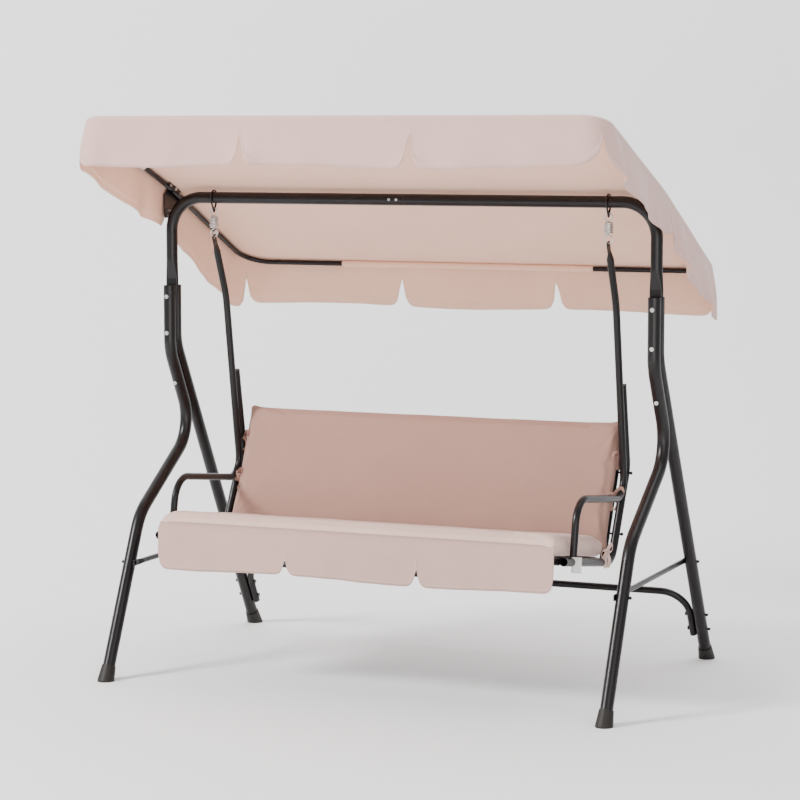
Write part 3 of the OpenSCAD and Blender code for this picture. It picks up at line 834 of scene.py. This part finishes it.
def makeBackCushion():
    shape = backShape
    thick = shape["thick"]
    obj = cushionMesh("backCushion", 2 * shape["halfWidth"] - 0.012, shape["run"] - 0.008, thick * 0.86,
                      round_=0.014)
    inflate(obj, 4.0, shape["cap"])
    centre = onBack(0, 0.022 + shape["run"] / 2, thick / 2)
    finishCushion(obj, (shape["halfWidth"], shape["run"] / 2), thick, planeMatrix(centre, shape["lean"]),
                  backCloth, "seat", "back_cushion", shape["wrinkle"])


print("cushions")
makeSeatCushion()
makeBackCushion()


# ---- skirt in front of the seat
skirtCut = {"halfWidth": 0.632, "top": 0.470, "drop": 0.114, "slits": (-0.208, 0.211), "slit": 0.036,
            "notchWidth": 0.05, "cornerWidth": 0.05, "cornerTop": 0.07,
            "face": -0.4215, "tuck": 0.026, "step": 0.006, "rows": 14, "thickness": 0.0014}


def skirtPoint(x, t, drop):
    # the top edge is caught in the cushion's front seam, the rest hangs
    hang = (drop + skirtCut["tuck"]) * t - skirtCut["tuck"]
    share = max(0.0, hang / drop)
    wave = 0.5 + 0.5 * math.sin(x * 24 + 0.8 * math.sin(x * 9))
    wave = 0.6 * wave ** 1.4 + 0.4 * (0.5 + 0.5 * math.sin(x * 61 + 0.4))
    out = 0.009 * wave * share ** 1.2 - 0.016 * smoothStep(0.004, skirtCut["tuck"], -hang)
    if hang > drop - 0.019:
        out += 0.0009
    return Vector((x, barY + skirtCut["face"] - out, skirtCut["top"] - hang))


def skirtDrop(x):
    full = skirtCut["drop"] + 0.004 * math.sin(x * 8)
    nearest = min(abs(x - s) for s in skirtCut["slits"])
    corner = skirtCut["halfWidth"] - abs(x)
    return min(notch(nearest, skirtCut["notchWidth"], skirtCut["slit"], full),
               notch(corner, skirtCut["cornerWidth"], skirtCut["cornerTop"], full))


def makeSkirt():
    count = round(2 * skirtCut["halfWidth"] / skirtCut["step"])
    rows = skirtCut["rows"]
    verts, faces, uvs = [], [], []
    for i in range(count + 1):
        x = -skirtCut["halfWidth"] + 2 * skirtCut["halfWidth"] * i / count
        drop = skirtDrop(x)
        for r in range(rows + 1):
            verts.append(skirtPoint(x, r / rows, drop))
            uvs.append((x, drop * r / rows))
    for i in range(count):
        for r in range(rows):
            a = i * (rows + 1) + r
            faces.append((a, a + 1, a + rows + 2, a + rows + 1))
    obj = makeObject("seatSkirt", verts, faces, [skirtCloth])
    layer = obj.data.uv_layers.new(name="cloth")
    for loop in obj.data.loops:
        layer.data[loop.index].uv = uvs[loop.vertex_index]
    wall = obj.modifiers.new("clothThickness", "SOLIDIFY")
    wall.thickness = skirtCut["thickness"]
    wall.offset = -1
    applyModifiers(obj)
    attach(obj, "seat")
    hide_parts("seat_valance")
    hem = [skirtPoint(x, 1 - 0.009 / (skirtDrop(x) + skirtCut["tuck"]), skirtDrop(x)) - Vector((0, 0.0004, 0))
           for x in [-0.628 + 1.256 * i / 220 for i in range(221)]]
    sewLines("skirtStitches", [hem], "seat")


print("skirt")
makeSkirt()


# ---- ties, straps and the blank care label
tieShape = {"width": 0.011, "flat": 0.12, "loop": 0.026, "tail": 0.05}


def bowPaths(centre, turn):
    # two loops and two tails leaving one knot
    paths = []
    across = Vector((math.cos(turn), math.sin(turn), 0))
    for side in (-1, 1):
        loop = []
        for i in range(15):
            a = 2 * math.pi * i / 14
            reach = tieShape["loop"] * math.sin(a / 2)
            lift = 0.011 * math.sin(a)
            loop.append(centre + across * side * reach + Vector((0, 0, 0.4 * reach * side + lift)))
        tail = []
        for k in range(9):
            hang = Vector((0, 0.003 * math.sin(k), tieShape["tail"] * k / 8))
            tail.append(centre + across * side * 0.010 * math.sin(k / 3) - hang)
        paths += [loop, tail]
    return paths


def ribbon(name, paths, material=seatCloth):
    verts, faces, length = [], [], 0.0
    for path in paths:
        more, sides = tubeMesh(path, tieShape["width"] / 2, 10, flat=tieShape["flat"])
        faces += [tuple(i + len(verts) for i in face) for face in sides]
        verts += more
        length += sum((b - a).length for a, b in zip(path, path[1:]))
    obj = makeObject(name, verts, faces, [material])
    turnOutwards(obj)
    obj.data.shade_smooth()
    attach(obj, "seat")


def makeTies():
    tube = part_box("seat_side_right")[1].x
    for side, label in ((-1, "left"), (1, "right")):
        ribbon("seatTie." + label, bowPaths(Vector((side * (tube + 0.003), barY - 0.035, 0.428)), 1.2 * side))
        ribbon("lowerBackTie." + label, bowPaths(onBack(side * 0.632, 0.20, 0.012), 0.5 * side), backCloth)
        ribbon("upperBackTie." + label, bowPaths(onBack(side * 0.632, 0.33, 0.012), 0.7 * side), backCloth)


labelCut = {"width": 0.030, "length": 0.046, "thickness": 0.0006}


def makeLabel():
    corner = Vector((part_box("seat_side_right")[1].x - 0.012, barY - 0.315, 0.452))
    verts, faces = [], []
    for i in range(5):
        for k in range(9):
            bend = 0.004 * math.sin(k / 8 * 2.4) + 0.002 * (i / 4)
            verts.append(corner + Vector((labelCut["width"] * i / 4, 0.006 * i / 4 - bend, -labelCut["length"] * k / 8)))
    faces = [(i * 9 + k, i * 9 + k + 1, i * 9 + k + 10, i * 9 + k + 9) for i in range(4) for k in range(8)]
    obj = makeObject("careLabel", verts, faces, [labelCloth])
    wall = obj.modifiers.new("clothThickness", "SOLIDIFY")
    wall.thickness = labelCut["thickness"]
    applyModifiers(obj)
    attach(obj, "seat")


strapCut = {"front": -0.21, "rear": 0.33, "radius": 0.0094, "barRadius": 0.008, "half": 0.011}


def makeStraps():
    # short loops that hold the cloth to the side bars
    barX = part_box("canopy_front_hoop")[1].x - strapCut["barRadius"]
    rise = math.radians(canopyCut["frontRise"])
    fall = math.radians(canopyCut["rearFall"])
    for side, label in ((-1, "left"), (1, "right")):
        for place, run, a in (("front", strapCut["front"], rise), ("rear", strapCut["rear"], fall)):
            points = [Vector((side * barX, pivot.y + r * math.cos(a), pivot.z - r * math.sin(a)))
                      for r in (run - strapCut["half"], run - 0.009, run, run + 0.009, run + strapCut["half"])]
            verts, faces = tubeMesh(points, strapCut["radius"], 20)
            obj = makeObject("barStrap." + place + "." + label, verts, faces, [threadMaterial])
            turnOutwards(obj)
            obj.data.shade_smooth()
            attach(obj, "canopy")


print("ties")
makeTies()
makeLabel()
makeStraps()


# ---- slings under the cushions
def makeSling(name, node, point, halfWidth, along, thick):
    nx, ny = 40, 24
    verts, faces = [], []
    for j in range(ny + 1):
        for i in range(nx + 1):
            u, v = -1 + 2 * i / nx, j / ny
            x = halfWidth * u
            sag = 0.0015 * (1 - u * u) * math.sin(math.pi * v)
            verts.append(point(x, along[0] + (along[1] - along[0]) * v, sag))
    for j in range(ny):
        for i in range(nx):
            a = j * (nx + 1) + i
            faces.append((a, a + 1, a + nx + 2, a + nx + 1))
    obj = makeObject(name, verts, faces, [meshPanel])
    wall = obj.modifiers.new("clothThickness", "SOLIDIFY")
    wall.thickness = thick
    wall.offset = -1
    applyModifiers(obj)
    turnOutwards(obj)
    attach(obj, "seat")
    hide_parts(node)


slingCut = {"halfWidth": 0.613, "thickness": 0.0016, "seatUp": 0.0135, "behindBack": 0.038,
            "seatRun": (-0.006, 0.425), "backRun": (0.024, 0.426)}
makeSling("seatSling", "seat_sling", lambda x, a, sag: onSeat(x, a, slingCut["seatUp"] - sag),
          slingCut["halfWidth"], slingCut["seatRun"], slingCut["thickness"])
makeSling("backSling", "back_sling", lambda x, a, sag: onBack(x, a, slingCut["behindBack"] + sag),
          slingCut["halfWidth"], slingCut["backRun"], slingCut["thickness"])


# ---- the room: pale floor, soft light, camera
def makeStage():
    verts, faces = [], []
    depth, top, radius = 3.2, 6.4, 1.6
    profile = [(-6.0, 0.0), (depth - radius, 0.0)]
    profile += [(depth - radius + radius * math.sin(a), radius * (1 - math.cos(a)))
                for a in [math.pi / 2 * k / 24 for k in range(1, 25)]]
    profile.append((depth, top))
    for side in (-9.0, 9.0):
        verts += [Vector((side, y, z)) for y, z in profile]
    count = len(profile)
    faces = [(i, i + 1, count + i + 1, count + i) for i in range(count - 1)]
    material = bpy.data.materials.new("paleFloor")
    material.use_nodes = True
    shader = material.node_tree.nodes["Principled BSDF"]
    shader.inputs["Base Color"].default_value = (0.93, 0.93, 0.93, 1)
    shader.inputs["Roughness"].default_value = 0.85
    obj = makeObject("floor", verts, faces, [material])
    turn = Matrix.Rotation(math.radians(22.69), 4, "Z")
    obj.data.transform(turn)


def areaLight(name, place, target, size, energy, colour=(1, 1, 1)):
    light = bpy.data.lights.new(name, "AREA")
    light.shape = "RECTANGLE"
    light.size, light.size_y = size
    light.energy = energy
    light.color = colour
    obj = bpy.data.objects.new(name, light)
    obj.location = place
    obj.rotation_euler = (Vector(target) - Vector(place)).to_track_quat("-Z", "Y").to_euler()
    bpy.context.scene.collection.objects.link(obj)


def makeLights():
    areaLight("keyLight", (-4.2, -4.6, 4.6), (0, 0, 0.8), (1.6, 1.6), 640, (1.0, 0.985, 0.97))
    areaLight("fillLight", (4.5, -5.0, 2.6), (0, 0, 0.8), (4.0, 3.0), 90)
    areaLight("lowLight", (2.2, -5.2, 0.6), (0, 0, 1.5), (4.0, 1.2), 90, (1.0, 0.96, 0.93))
    areaLight("topLight", (0.5, 0.5, 5.2), (0, 0, 0), (4.5, 4.5), 190)
    world = bpy.data.worlds.new("studio")
    world.use_nodes = True
    world.node_tree.nodes["Background"].inputs["Color"].default_value = (0.87, 0.88, 0.9, 1)
    world.node_tree.nodes["Background"].inputs["Strength"].default_value = 0.8
    bpy.context.scene.world = world


cameraSet = {"x": 3.037, "y": -7.304, "z": 1.669, "yaw": -0.396, "pitch": 0.1033, "lens": 117.0}


def makeCamera():
    camera = bpy.data.cameras.new("camera")
    camera.lens = cameraSet["lens"]
    camera.sensor_width = 36.0
    obj = bpy.data.objects.new("camera", camera)
    yaw, pitch = cameraSet["yaw"], cameraSet["pitch"]
    look = Vector((math.sin(yaw) * math.cos(pitch), math.cos(yaw) * math.cos(pitch), -math.sin(pitch)))
    obj.location = (cameraSet["x"], barY + cameraSet["y"], cameraSet["z"])
    obj.rotation_euler = look.to_track_quat("-Z", "Y").to_euler()
    bpy.context.scene.collection.objects.link(obj)
    bpy.context.scene.camera = obj


print("room")
makeStage()
makeLights()
makeCamera()
